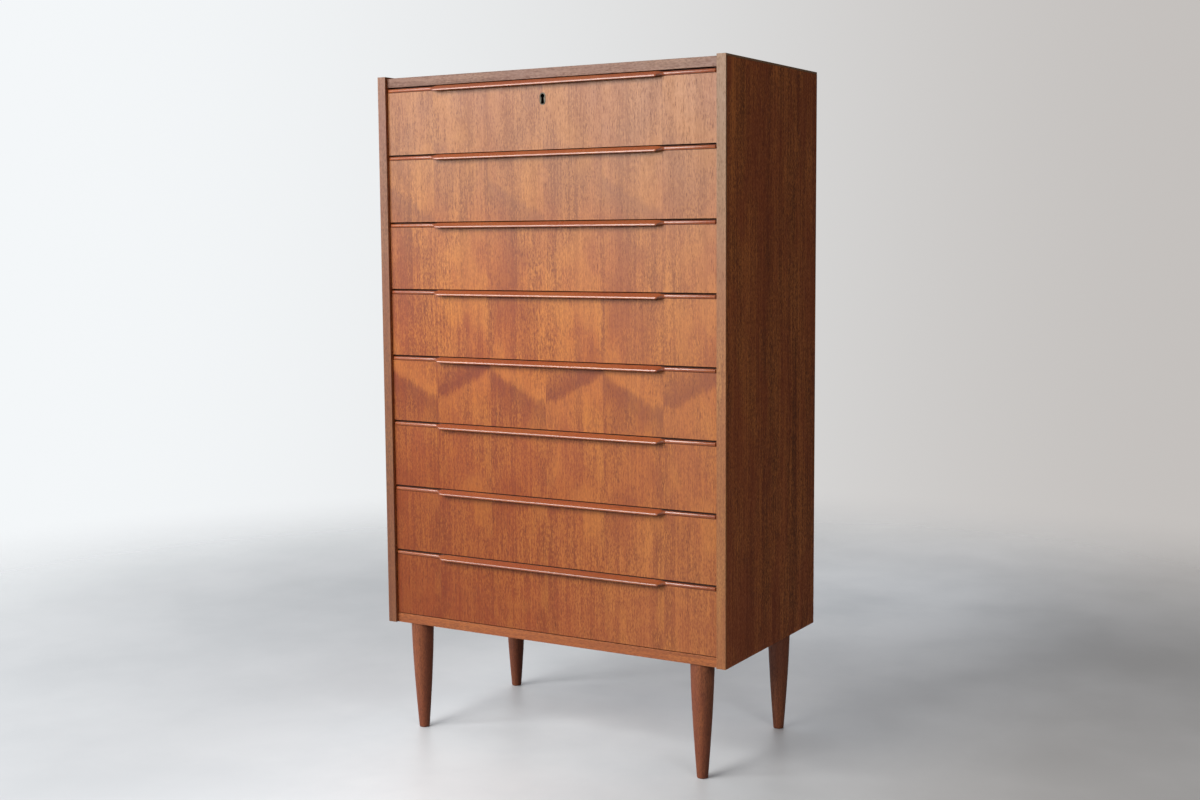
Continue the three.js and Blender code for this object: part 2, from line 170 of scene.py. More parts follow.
def timber_group():
    """Straight-grained timber, with its grain along the vector's Z.

    Tone, from 0 dark to 1 light, adds four noises that are drawn out along the grain: bands a few
    centimetres wide, streaks of some millimetres, flecks a centimetre or two long, and single fibres.
    Hue is a second, slower field. Pores are short dark dashes, where a fine noise passes a limit.
    """
    tree, g, given, out = new_group(
        "timber_grain",
        [("Vector", "Vector", None), ("Seed", "Float", 0.0), ("Band", "Float", 0.045),
         ("Contrast", "Float", 1.0), ("Wander", "Float", 0.006)],
        [("Tone", "Float"), ("Hue", "Float"), ("Pores", "Float"), ("Height", "Float")])
    vector, seed = given["Vector"], given["Seed"]
    sway = g.noise(vector, 1.0, 2.0, 0.5, seed, (3.0, 3.0, 2.2))
    shift = g.times(g.minus(sway, 0.5), given["Wander"])
    straight = g.vector("ADD", vector, g.joined(shift, shift, 0.0))
    across = g.math("DIVIDE", 1.0, given["Band"])
    banded = g.vector("MULTIPLY", straight, g.joined(across, across, 0.9))
    bands = g.noise(banded, 1.0, 3.0, 0.55, seed)
    streaks = g.noise(straight, 1.0, 3.0, 0.65, seed, (210.0, 210.0, 2.2))
    flecks = g.noise(straight, 1.0, 2.0, 0.6, g.plus(seed, 5.0), (560.0, 560.0, 170.0))
    fibres = g.noise(straight, 1.0, 2.0, 0.6, seed, (820.0, 820.0, 30.0))
    total = 0.0
    for layer, share in ((bands, 1.15), (streaks, 1.5), (flecks, 2.4), (fibres, 1.1)):
        total = g.plus(total, g.times(g.minus(layer, 0.5), share))
    g.feed(g.math("ADD", g.times(total, given["Contrast"]), 0.5, clamp=True), out["Tone"])
    hue = g.noise(straight, 1.0, 3.0, 0.55, g.plus(seed, 7.0), (20.0, 20.0, 6.0))
    g.feed(g.step(hue, 0.34, 0.66), out["Hue"])
    dashes = g.noise(straight, 1.0, 1.0, 0.5, g.plus(seed, 3.0), (1400.0, 1400.0, 75.0))
    pores = g.times(g.step(dashes, 0.56, 0.7), g.step(flecks, 0.62, 0.4, 0.35, 1.0))
    g.feed(pores, out["Pores"])
    relief = g.plus(g.times(fibres, 0.5), g.times(streaks, 0.35))
    g.feed(g.minus(relief, g.times(pores, 0.6)), out["Height"])
    return tree


def leaf_group():
    """Veneer laid as book-matched leaves, side by side along X.

    Position is folded at every leaf edge (ping-pong), so that neighbouring leaves mirror each other.
    Each leaf is the next slice of the flitch, a little further along Y. Side is +1 and -1 on
    alternate leaves, Fold is the place across the leaf from 0 to 1, and Joint marks the leaf edges.
    """
    tree, g, given, out = new_group(
        "book_match",
        [("Vector", "Vector", None), ("Width", "Float", LEAF)],
        [("Vector", "Vector"), ("Side", "Float"), ("Fold", "Float"), ("Joint", "Float"), ("Leaf", "Float")])
    x, y, z = g.parts(given["Vector"])
    width = given["Width"]
    moved = g.plus(x, g.times(width, 20.0))
    folded = g.math("PINGPONG", moved, width)
    index = g.math("FLOOR", g.math("DIVIDE", moved, width))
    odd = g.math("MODULO", index, 2.0)
    slices = g.times(index, 0.0021)
    g.feed(g.joined(folded, g.plus(y, slices), z), out["Vector"])
    g.feed(g.minus(1.0, g.times(odd, 2.0)), out["Side"])
    g.feed(g.math("DIVIDE", folded, width), out["Fold"])
    edge = g.math("MINIMUM", folded, g.minus(width, folded))
    g.feed(g.step(edge, 0.0, 0.0006, 1.0, 0.0), out["Joint"])
    white = g.add("ShaderNodeTexWhiteNoise", {"W": index}, noise_dimensions="1D")
    g.feed(white.outputs[0], out["Leaf"])
    return tree


def figure_group():
    """One band of zigzag figure across the leaves, for a single drawer.

    Its edge falls from High, at one side of a leaf, to Low at the other, as depths below Top, and
    short strokes of grain break it. On one leaf the dark lies below the edge and the light above,
    and on the next the other way round, with the strength that Even gives.
    """
    tree, g, given, out = new_group(
        "zigzag_figure",
        [("Vector", "Vector", None), ("Fold", "Float", 0.0), ("Side", "Float", 1.0),
         ("Top", "Float", 1.0), ("Bottom", "Float", 0.0), ("High", "Float", 0.02),
         ("Low", "Float", 0.08), ("Even", "Float", 1.0)],
        [("Dark", "Float"), ("Light", "Float")])
    z = g.parts(given["Vector"])[2]
    strokes = g.noise(given["Vector"], 1.0, 2.0, 0.6, 4.0, (260.0, 20.0, 14.0))
    waves = g.noise(given["Vector"], 1.0, 2.0, 0.6, 6.0, (36.0, 20.0, 20.0))
    ragged = g.plus(g.times(g.minus(strokes, 0.5), 0.03), g.times(g.minus(waves, 0.5), 0.02))
    span = g.minus(given["High"], given["Low"])
    depth = g.plus(given["Low"], g.times(given["Fold"], span))
    edge = g.plus(g.minus(given["Top"], depth), ragged)
    odd = g.math("LESS_THAN", given["Side"], 0.0)
    sign = g.minus(g.times(odd, 2.0), 1.0)
    within = g.times(g.minus(edge, z), sign)
    strength = g.plus(odd, g.times(g.minus(1.0, odd), given["Even"]))
    inside = g.times(g.step(z, given["Bottom"], g.plus(given["Bottom"], 0.0005)),
                     g.step(z, g.minus(given["Top"], 0.0005), given["Top"], 1.0, 0.0))
    strength = g.times(strength, inside)
    dark = g.times(g.step(within, -0.011, 0.013), g.step(within, 0.005, 0.07, 1.0, 0.2))
    light = g.times(g.step(within, -0.008, 0.004, 1.0, 0.0), g.step(within, -0.08, -0.008, 0.2, 1.0))
    g.feed(g.times(dark, strength), out["Dark"])
    g.feed(g.times(light, strength), out["Light"])
    return tree


def wear_group():
    """Use and handling: slow smudges in the polish, and fine marks that run every way."""
    tree, g, given, out = new_group(
        "handling", [("Vector", "Vector", None), ("Seed", "Float", 0.0)],
        [("Smudge", "Float"), ("Marks", "Float")])
    smudge = g.noise(given["Vector"], 7.0, 3.0, 0.6, given["Seed"])
    g.feed(g.step(smudge, 0.35, 0.68), out["Smudge"])
    marks = g.noise(given["Vector"], 60.0, 4.0, 0.7, g.plus(given["Seed"], 2.0))
    g.feed(g.step(marks, 0.62, 0.8), out["Marks"])
    return tree


def hollow_shade_group():
    """Painted shade on every handle strip: a mask of its hollows, where shade falls.

    The finger cove is what lies behind the lip's nose and more than a little below the slope. The
    set-backs are all that lies behind the drawer face. The bead's underside is its lowest
    millimetre.
    """
    tree, g, given, out = new_group("painted_hollow_shade", [("Vector", "Vector", None)], [("PaintedShade", "Float")])
    x, y, z = g.parts(given["Vector"])
    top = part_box("drawer_1_handle")[1].z
    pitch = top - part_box("drawer_2_handle")[1].z
    depth = g.math("FLOORED_MODULO", g.minus(top, z), pitch)
    reach = g.minus(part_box("drawer_1_front")[0].y, y)
    slope = g.plus(g.times(g.minus(reach, BEAD_REACH / 2), math.tan(LIP_SLOPE)), 1.0 * MM)
    under = g.step(g.minus(depth, slope), 0.0, 0.4 * MM)
    behind = g.step(reach, LIP_REACH - 1.8 * MM, LIP_REACH - 0.8 * MM, 1.0, 0.0)
    along = g.step(g.math("ABSOLUTE", x), LIP_HALF_WIDTH - LIP_END, LIP_HALF_WIDTH, 1.0, 0.0)
    cove = g.times(g.times(under, behind), along)
    setback = g.step(reach, -0.8 * MM, -0.1 * MM, 1.0, 0.0)
    near = g.step(reach, BEAD_REACH + 0.3 * MM, BEAD_REACH + 0.8 * MM, 1.0, 0.0)
    edge = g.times(near, g.step(depth, BEAD_HEIGHT - 1.0 * MM, BEAD_HEIGHT - 0.2 * MM))
    g.feed(g.math("MAXIMUM", g.math("MAXIMUM", cove, setback), edge), out["PaintedShade"])
    return tree


timber = timber_group()
leaves = leaf_group()
figure = figure_group()
handling = wear_group()
hollow_shade_tree = hollow_shade_group()


# ------------------------------------------------------------------------------------------- materials

def srgb(red, green, blue):
    """An 8-bit screen colour as the linear colour that a shader takes."""
    shares = np.array([red, green, blue]) / 255
    linear = np.where(shares <= 0.04045, shares / 12.92, ((shares + 0.055) / 1.055) ** 2.4)
    return (*linear.tolist(), 1.0)


def new_material(name):
    """A material with a Principled shader: its graph, the shader's inputs and object coordinates."""
    material = bpy.data.materials.new(name)
    material.use_nodes = True
    tree = material.node_tree
    tree.nodes.clear()
    graph = Graph(tree)
    shader = graph.add("ShaderNodeBsdfPrincipled")
    output = graph.add("ShaderNodeOutputMaterial")
    graph.feed(shader.outputs[0], output.inputs[0])
    place = graph.add("ShaderNodeTexCoord").outputs["Object"]
    return material, graph, shader.inputs, place


# Rotations that bring a grain from its axis to Z
GRAIN_TURN = {"x": (0, math.pi / 2, 0), "y": (math.pi / 2, 0, 0), "z": (0, 0, 0)}


def turned(graph, place, grain):
    """Coordinates turned so that the grain, which lies along one axis, runs along Z."""
    if grain == "z":
        return place
    inputs = {"Vector": place, "Rotation": GRAIN_TURN[grain]}
    return graph.add("ShaderNodeMapping", inputs, vector_type="POINT").outputs[0]


def wood(name, grain, light, dark, rose, pore, seed=0.0, band=0.045, contrast=1.0, rough=(0.36, 0.5),
         bump=0.00012, specular=0.5, wander=0.006, cove=False, top_shade=None):
    """A plain board: tone between two colours, a slow drift towards a third, pores, and a satin polish.

    With cove, the hollows of each handle strip get painted shade: a darker colour and a rougher polish.
    With a colour for the top, painted shade takes the wood towards it near the top of the chest.
    """
    material, g, shader, place = new_material(name)
    vector = turned(g, place, grain)
    grown = g.group(timber, {"Vector": vector, "Seed": seed, "Band": band, "Contrast": contrast,
                             "Wander": wander})
    worn = g.group(handling, {"Vector": place, "Seed": seed})
    colour = g.mix(grown["Tone"], dark, light)
    colour = g.mix(g.times(grown["Hue"], 0.55), colour, rose)
    # Painted shade: the colour goes duller towards the top of the chest.
    if top_shade is not None:
        colour = g.mix(g.step(g.parts(place)[2], 0.7, 1.2, 0.0, 0.7), colour, top_shade)
    colour = g.mix(g.times(grown["Pores"], 0.6), colour, pore)
    polish = g.step(grown["Tone"], 0.2, 0.8, rough[1], rough[0])
    polish = g.plus(polish, g.times(worn["Smudge"], 0.05))
    # Painted shade: the handle's hollows are darkened towards near-black brown, and their polish is
    # rougher.
    if cove:
        hollow_shade = g.group(hollow_shade_tree, {"Vector": place})["PaintedShade"]
        colour = g.mix(g.times(hollow_shade, 0.85), colour, srgb(44, 16, 8))
        polish = g.plus(polish, g.times(hollow_shade, 0.6))
    g.feed(colour, shader["Base Color"])
    g.feed(g.plus(polish, g.times(grown["Pores"], 0.15)), shader["Roughness"])
    g.feed(g.bump(grown["Height"], bump), shader["Normal"])
    shader["Specular IOR Level"].default_value = specular
    return material


def front_veneer():
    """The drawer fronts: book-matched upright teak, matched down all the drawers.

    Light slants differently off alternate leaves, so that a slow field lightens one leaf and darkens
    its neighbour. The fifth drawer has a strong zigzag figure, the second a faint one. Painted shade
    makes the veneer duller towards the top of the chest and darker low on its left, and a painted
    reflection makes it lighter towards the right.
    """
    material, g, shader, place = new_material("front_teak_veneer")
    leaf = g.group(leaves, {"Vector": place, "Width": LEAF})
    grown = g.group(timber, {"Vector": leaf["Vector"], "Seed": 2.3, "Band": 0.034, "Contrast": 1.6,
                             "Wander": 0.004})
    colour = g.mix(grown["Tone"], srgb(128, 62, 26), srgb(194, 120, 58))
    colour = g.mix(g.times(grown["Hue"], 0.5), colour, srgb(160, 78, 42))
    sheen = g.noise(leaf["Vector"], 1.0, 2.0, 0.5, 9.0, (16.0, 16.0, 9.0))
    swing = g.times(g.minus(sheen, 0.5), leaf["Side"])
    colour = g.mix(g.step(swing, 0.0, 0.18, 0.0, 0.4), colour, srgb(200, 126, 56))
    colour = g.mix(g.step(swing, -0.18, 0.0, 0.4, 0.0), colour, srgb(128, 56, 32))
    for number, high, low, even, strength, glow in FIGURES:
        zigzag = g.group(figure, {
            "Vector": leaf["Vector"], "Fold": leaf["Fold"], "Side": leaf["Side"],
            "Top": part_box(f"drawer_{number}_handle")[1].z,
            "Bottom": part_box(f"drawer_{number}_front")[0].z,
            "High": high, "Low": low, "Even": even})
        colour = g.mix(g.times(zigzag["Dark"], strength), colour, srgb(114, 48, 34))
        colour = g.mix(g.times(zigzag["Light"], glow), colour, srgb(198, 118, 56))
    x, _, z = g.parts(place)
    # Painted shade: duller towards the top of the chest.
    colour = g.mix(g.step(z, 0.8, 1.2, 0.0, 0.45), colour, srgb(132, 96, 62))
    # Painted reflection: lighter towards the right.
    colour = g.mix(g.step(x, -0.1, 0.36, 0.0, 0.25), colour, srgb(168, 116, 78))
    # Painted shade: darker and redder towards the bottom, most on the left.
    low = g.step(z, 0.15, 1.0, 1.0, 0.0)
    low_left_shade = g.plus(g.times(g.step(x, -0.38, 0.3, 0.6, 0.0), low), g.times(low, 0.12))
    colour = g.mix(low_left_shade, colour, srgb(116, 42, 14))
    colour = g.mix(g.times(grown["Pores"], 0.7), colour, srgb(78, 32, 16))
    colour = g.mix(g.times(leaf["Joint"], 0.25), colour, srgb(88, 38, 20))
    g.feed(colour, shader["Base Color"])
    worn = g.group(handling, {"Vector": place, "Seed": 5.0})
    polish = g.step(grown["Tone"], 0.2, 0.8, 0.42, 0.33)
    polish = g.plus(polish, g.times(worn["Smudge"], 0.05))
    g.feed(g.plus(polish, g.times(grown["Pores"], 0.12)), shader["Roughness"])
    g.feed(g.bump(grown["Height"], 0.00008), shader["Normal"])
    shader["Specular IOR Level"].default_value = 0.4
    return material


def metal(name, colour, rough, seed):
    """Plated metal, dulled by handling: smudges roughen it and darken it a little."""
    material, g, shader, place = new_material(name)
    worn = g.group(handling, {"Vector": g.vector("MULTIPLY", place, (20, 20, 20)), "Seed": seed})
    dull = tuple(0.55 * c for c in colour[:3]) + (1.0,)
    g.feed(g.mix(g.times(worn["Smudge"], 0.6), colour, dull), shader["Base Color"])
    g.feed(g.plus(rough, g.times(worn["Smudge"], 0.18)), shader["Roughness"])
    g.feed(g.bump(worn["Marks"], 0.00003), shader["Normal"])
    shader["Metallic"].default_value = 1.0
    return material


TEAK_PORE = srgb(70, 30, 16)
BEECH = (srgb(222, 184, 138), srgb(196, 152, 108), srgb(208, 160, 120), srgb(166, 116, 78))
finishes = {
    "front": front_veneer(),
    "side": wood("side_teak_veneer", "z", srgb(196, 112, 52), srgb(100, 50, 22), srgb(140, 60, 30),
                 TEAK_PORE, 11.0, 0.04, 1.5, (0.5, 0.62), wander=0.03, specular=0.35),
    "edge_left": wood("left_teak_lipping", "z", srgb(140, 92, 58), srgb(100, 60, 38), srgb(118, 62, 42),
                      TEAK_PORE, 21.0, 0.02, 1.2, (0.4, 0.52)),
    # Right lipping: duller towards the top of the chest with painted shade.
    "edge_right": wood("right_teak_lipping", "z", srgb(174, 118, 68), srgb(128, 80, 42), srgb(146, 84, 50),
                       TEAK_PORE, 26.0, 0.02, 1.2, (0.4, 0.52), top_shade=srgb(124, 98, 72)),
    "shelf": wood("case_teak_veneer", "x", srgb(168, 96, 54), srgb(122, 62, 34), srgb(138, 68, 42),
                  TEAK_PORE, 31.0, 0.05, 1.0, (0.4, 0.52), wander=0.02),
    "top_edge": wood("top_teak_lipping", "x", srgb(128, 85, 56), srgb(92, 56, 36), srgb(106, 60, 42),
                     TEAK_PORE, 41.0, 0.02, 1.2, (0.4, 0.52)),
    "bottom_edge": wood("bottom_teak_lipping", "x", srgb(176, 104, 54), srgb(130, 70, 34),
                        srgb(148, 76, 40), TEAK_PORE, 46.0, 0.02, 1.2, (0.4, 0.52)),
    "handle": wood("handle_solid_teak", "x", srgb(174, 96, 48), srgb(124, 58, 28), srgb(142, 62, 34),
                   TEAK_PORE, 51.0, 0.016, 0.9, (0.22, 0.3), bump=0.00004, specular=0.9, cove=True),
    "leg": wood("leg_solid_teak", "z", srgb(148, 86, 52), srgb(102, 54, 32), srgb(120, 58, 38),
                TEAK_PORE, 61.0, 0.014, 1.1, (0.38, 0.5)),
    "box": wood("drawer_beech", "y", *BEECH, 71.0, 0.05, 0.7, (0.42, 0.52), bump=0.00005),
    "box_back": wood("drawer_back_beech", "x", *BEECH, 81.0, 0.05, 0.7, (0.42, 0.52), bump=0.00005),
    "runner": wood("runner_beech", "y", srgb(206, 164, 118), srgb(178, 134, 92), srgb(188, 138, 98),
                   srgb(150, 104, 70), 91.0, 0.02, 0.8, (0.34, 0.45), bump=0.00005),
    "bottom": wood("drawer_bottom_plywood", "x", srgb(220, 182, 134), srgb(190, 146, 100),
                   srgb(200, 150, 106), srgb(160, 112, 74), 101.0, 0.07, 0.9, (0.5, 0.6),
                   bump=0.00006, wander=0.05),
    "back": wood("back_plywood", "z", srgb(198, 154, 106), srgb(160, 114, 72), srgb(176, 122, 82),
                 srgb(120, 80, 50), 111.0, 0.09, 1.0, (0.6, 0.72), wander=0.07),
    "steel": metal("lock_steel", srgb(150, 150, 148), 0.42, 121.0),
    # A near-black lining for the keyway: painted shade, where the deep hole is dark.
    "keyway_shade": metal("keyway_painted_shade", srgb(34, 31, 28), 0.7, 141.0),
    # Nickel, with its colour darkened as painted shade for the plate's shadowed edges.
    "nickel": metal("escutcheon_nickel", srgb(94, 89, 80), 0.5, 131.0),
}


# --------------------------------------------------------- shells: (points, faces) with faces outwards

def ring_faces(rings, around):
    """Quads between successive closed rings of points, and one many-sided face over each end."""
    first = np.arange(rings - 1)[:, None] * around
    here = np.arange(around)[None, :]
    after = (here + 1) % around
    corners = (first + here, first + after, first + around + after, first + around + here)
    quads = np.stack(corners, axis=-1).reshape(-1, 4).tolist()
    last = (rings - 1) * around
    return quads + [list(range(around))[::-1], list(range(last, last + around))]


def anticlockwise(outline, along):
    """The outline in the order that turns anticlockwise when seen from the high end of the axis."""
    points = np.asarray(outline, float)
    a, b = points.T
    area = np.sum(a * np.roll(b, -1) - b * np.roll(a, -1))
    return points[::-1] if (area < 0) != (along == "y") else points


def prism(outline, along, low, high):
    """A closed outline carried straight along an axis. Its columns are the other two axes in order."""
    points = anticlockwise(outline, along)
    axis = "xyz".index(along)
    others = [n for n in range(3) if n != axis]
    rings = np.zeros((2, len(points), 3))
    rings[:, :, others] = points
    rings[:, :, axis] = np.array([[low], [high]])
    return rings.reshape(-1, 3), ring_faces(2, len(points))


def block(low, high):
    """A square-edged block between two corners, as a rectangle carried along z."""
    (x0, y0, z0), (x1, y1, z1) = low, high
    return prism([(x0, y0), (x1, y0), (x1, y1), (x0, y1)], "z", z0, z1)


def turned_shape(profile, centre, around=96):
    """A profile of (radius, height) points turned about an upright axis: (r cos t, r sin t, z)."""
    radius, height = np.asarray(profile, float).T
    angle = np.linspace(0, 2 * math.pi, around, endpoint=False)
    rings = np.empty((len(radius), around, 3))
    rings[:, :, 0] = centre[0] + radius[:, None] * np.cos(angle)
    rings[:, :, 1] = centre[1] + radius[:, None] * np.sin(angle)
    rings[:, :, 2] = centre[2] + height[:, None]
    return rings.reshape(-1, 3), ring_faces(len(radius), around)


def together(shells):
    """Several shells as one."""
    points, faces, count = [], [], 0
    for shell_points, shell_faces in shells:
        points.append(shell_points)
        faces += [[corner + count for corner in face] for face in shell_faces]
        count += len(shell_points)
    return np.concatenate(points), faces


def raised(shell, height):
    """The shell moved up."""
    return shell[0] + np.array([0, 0, height]), shell[1]


def new_mesh(name, shell):
    mesh = bpy.data.meshes.new(name)
    mesh.from_pydata(shell[0].tolist(), [], shell[1])
    mesh.update()
    return mesh


def carved(shell, cutters):
    """The shell with the cutters' spaces taken out of it. Cutters in one call don't overlap."""
    work = bpy.data.objects.new("carving", new_mesh("carving", shell))
    tool = bpy.data.objects.new("cutting", new_mesh("cutting", together(cutters)))
    for thing in (work, tool):
        bpy.context.scene.collection.objects.link(thing)
    modifier = work.modifiers.new("cut", "BOOLEAN")
    modifier.operation = "DIFFERENCE"
    modifier.solver = "EXACT"
    modifier.object = tool
    result = work.evaluated_get(bpy.context.evaluated_depsgraph_get()).to_mesh()
    points = np.empty(len(result.vertices) * 3)
    result.vertices.foreach_get("co", points)
    faces = [list(polygon.vertices) for polygon in result.polygons]
    bpy.data.objects.remove(work)
    bpy.data.objects.remove(tool)
    return points.reshape(-1, 3), faces


def piece(name, body, shell, finish, stands_for=(), arris=None, crease=35):
    """A finished piece at the origin: smooth between faces that meet at less than the crease angle.

    With an arris, every sharper edge is rounded to that radius.
    """
    mesh = new_mesh(name, shell)
    mesh.materials.append(finishes[finish])
    thing = bpy.data.objects.new(name, mesh)
    bpy.context.scene.collection.objects.link(thing)
    mesh.shade_smooth()
    mesh.set_sharp_from_angle(angle=math.radians(crease))
    if arris:
        bevel = thing.modifiers.new("arris", "BEVEL")
        bevel.width = arris
        bevel.segments = 3
        bevel.limit_method = "ANGLE"
        bevel.angle_limit = math.radians(crease)
        bevel.harden_normals = True
    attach(thing, body)
    if stands_for:
        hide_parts(*stands_for)
    return thing


# ------------------------------------------------------------------------------ places, from the frame

side_low, side_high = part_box("side_panel_right")
shelf_low, shelf_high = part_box("top_panel")
board_low, board_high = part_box("drawer_2_front")
box_low, box_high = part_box("drawer_2_box")
bottom_low, bottom_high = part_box("drawer_2_bottom")
runner_low, runner_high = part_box("runner_2_right")

side_front = side_low.y
inner_x = side_low.x
face_y = board_low.y                          # face of the drawer fronts
board_back = board_high.y
front_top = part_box("drawer_2_handle")[1].z    # top of a drawer front, over its handle strip


# ------------------------------------------------------------------------------------------------ case

def side_panel(name, hand):
    """A veneered board with a rebate for the back, and solid lippings on its front and top edges."""
    back_low, back_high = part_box("back_panel")
    rebate_x = back_high.x + PLAY
    rebate_y = back_low.y - PLAY
    joint_y = side_front + LIPPING
    joint_z = side_high.z - LIPPING
    plan = [(side_high.x, joint_y), (side_high.x, side_high.y), (rebate_x, side_high.y),
            (rebate_x, rebate_y), (inner_x, rebate_y), (inner_x, joint_y)]
    plan = [(hand * x, y) for x, y in plan]
    x0, x1 = sorted((hand * inner_x, hand * side_high.x))
    board = prism(plan, "z", side_low.z, joint_z)
    front = block((x0, side_front, side_low.z), (x1, joint_y, side_high.z))
    top = prism(plan, "z", joint_z, side_high.z)
    edge = "edge_left" if hand < 0 else "edge_right"
    piece(name, "case", board, "side", [name], BOARD_ARRIS)
    piece(name + "_front_lipping", "case", front, edge, [name], LIPPING_ARRIS)
    piece(name + "_top_lipping", "case", top, edge, [name], LIPPING_ARRIS)


def shelf(name, cutters=()):
    """A veneered board between the sides, with a solid lipping along its front edge."""
    low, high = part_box(name)
    joint_y = low.y + LIPPING
    board = block((low.x, joint_y, low.z), high)
    if cutters:
        board = carved(board, cutters)
    piece(name, "case", board, "shelf", [name], BOARD_ARRIS)
    lipping = block(low, (high.x, joint_y, high.z))
    edge = "top_edge" if name == "top_panel" else "bottom_edge"
    piece(name + "_lipping", "case", lipping, edge, [name], LIPPING_ARRIS)


def strike_mortise():
    """The slot in the top panel's underside that the lock bolt rises into."""
    low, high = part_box("lock_bolt")
    depth = 10 * MM
    foot = shelf_low.z
    return block((low.x - 2 * PLAY, low.y - 2 * PLAY, foot - 2 * PLAY),
                 (high.x + 2 * PLAY, high.y + 2 * PLAY, foot + depth))


def pin_heads(places, radius):
    """Small domed pin heads facing back: height = 0.35 radius * cos(90 degrees * r / radius)."""
    share = np.array([0.99, 0.75, 0.4, 0.02])
    dome = np.stack([radius * share, 0.35 * radius * np.cos(share * math.pi / 2)], axis=1)
    profile = np.concatenate([[(radius, -0.4 * radius)], dome])
    points, faces = turned_shape(profile, (0, 0, 0), 12)
    facing_back = points[:, [0, 2, 1]] * np.array([-1, 1, 1])
    return together([(facing_back + np.array(place), faces) for place in places])


def back_panel():
    """Thin plywood in the rebates, with pins round its edge."""
    low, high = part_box("back_panel")
    piece("back_panel", "case", block(low, high), "back", ["back_panel"], BOARD_ARRIS)
    inset = 5 * MM
    across = np.linspace(low.x + 6 * inset, high.x - 6 * inset, 7)
    upward = np.linspace(low.z + 6 * inset, high.z - 6 * inset, 10)
    shelf_middle = (shelf_high.z - shelf_low.z) / 2
    rows = [(x, high.y, z) for x in across for z in (low.z + shelf_middle, high.z - shelf_middle)]
    rows += [(x, high.y, z) for z in upward for x in (low.x + inset, high.x - inset)]
    piece("back_pins", "case", pin_heads(rows, 1.4 * MM), "steel")


def leg(name):
    """A turned leg with a rounded foot, and a fine turned line near its top.

    Its radius is foot + (top - foot) * (1 - (1 - z / length) ^ 1.45).
    """
    low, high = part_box(name)
    centre = ((low.x + high.x) / 2, (low.y + high.y) / 2, low.z)
    top_radius = (high.x - low.x) / 2
    foot_radius = 10.2 * MM
    length = high.z - low.z
    rounding = 2.2 * MM
    turn = np.linspace(0, math.pi / 2, 8)
    height = np.linspace(rounding, length - rounding / 3, 60)
    radius = foot_radius + (top_radius - foot_radius) * (1 - (1 - height / length) ** 1.45)
    line = length - 9 * MM
    radius = radius - 0.25 * MM * np.exp(-(((height - line) / (0.7 * MM)) ** 2))
    foot = np.stack([radius[0] - rounding * (1 - np.sin(turn)), rounding * (1 - np.cos(turn))], axis=1)
    shank = np.stack([radius[1:], height[1:]], axis=1)
    cap = [(top_radius - rounding / 3, length)]
    piece(name, "case", turned_shape(np.concatenate([foot, shank, cap]), centre), "leg", [name])


def screw_heads(places, hand):
    """Countersunk slotted heads facing the middle of the chest.

    A flat disc of rings, whose points within 0.45 mm of its diameter drop 0.6 mm to form the slot.
    """
    radius = 2.6 * MM
    slot_half = 0.45 * MM
    rings = np.linspace(radius, radius * 0.04, 7)
    angle = np.linspace(0, 2 * math.pi, 20, endpoint=False)
    flat = np.empty((len(rings), len(angle), 3))
    flat[:, :, 1] = rings[:, None] * np.cos(angle)
    flat[:, :, 2] = rings[:, None] * np.sin(angle)
    in_slot = np.abs(flat[:, :, 1] - flat[:, :, 2]) < slot_half * math.sqrt(2)
    flat[:, :, 0] = np.where(in_slot, 0.6 * MM, 0.0)
    skirt = flat[:1].copy()
    skirt[:, :, 0] = 0.8 * MM
    points = np.concatenate([skirt, flat]).reshape(-1, 3) * np.array([hand, hand, 1])
    faces = [face[::-1] for face in ring_faces(len(rings) + 1, len(angle))]
    return together([(points + np.array(place), faces) for place in places])


def runners(side, hand):
    """Hardwood strips with rounded noses, each held by three screws."""
    screws = []
    for number in range(1, 9):
        name = f"runner_{number}_{side}"
        low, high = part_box(name)
        nose = 3 * MM
        turn = np.linspace(0, math.pi / 2, 6)
        front = np.stack([low.y + nose * (1 - np.sin(turn)), high.z - nose * (1 - np.cos(turn))], axis=1)
        outline = np.concatenate([[(high.y, low.z), (high.y, high.z)], front, [(low.y, low.z)]])
        strip = prism(outline, "x", low.x, high.x)
        piece(name, "case", strip, "runner", [name], LIPPING_ARRIS)
        surface = low.x if hand > 0 else high.x
        middle = (low.z + high.z) / 2
        screws += [(surface, low.y + share * (high.y - low.y), middle) for share in (0.08, 0.5, 0.92)]
    piece(f"runner_screws_{side}", "case", screw_heads(screws, hand), "steel")


# -------------------------------------------------------- drawers, with the front's underside at z = 0

drawer_foot = board_low.z
board_height = board_high.z - drawer_foot
strip_top = front_top - drawer_foot
strip_foot = strip_top - 8 * MM
box_foot = box_low.z - drawer_foot
box_top = box_high.z - drawer_foot
ply_foot = bottom_low.z - drawer_foot
ply_top = bottom_high.z - drawer_foot
ply_groove_foot = ply_foot - PLAY
ply_groove_top = ply_top + PLAY
groove_foot = runner_low.z - drawer_foot - GROOVE_PLAY
groove_top = runner_high.z - drawer_foot + PLAY
box_x = box_high.x
box_inner = box_x - BOX_WALL


def arc(centre, radius, first, last, count):
    """Points c + r (cos a, sin a) between two angles in degrees."""
    turn = np.radians(np.linspace(first, last, count))
    return np.asarray(centre) + radius * np.stack([np.cos(turn), np.sin(turn)], axis=1)


def bow(start, bend, end, count):
    """A quadratic curve (1-t)^2 a + 2t(1-t) b + t^2 c, without its first point."""
    t = np.linspace(0, 1, count + 1)[1:, None]
    return (1 - t) ** 2 * np.asarray(start) + 2 * t * (1 - t) * np.asarray(bend) + t**2 * np.asarray(end)


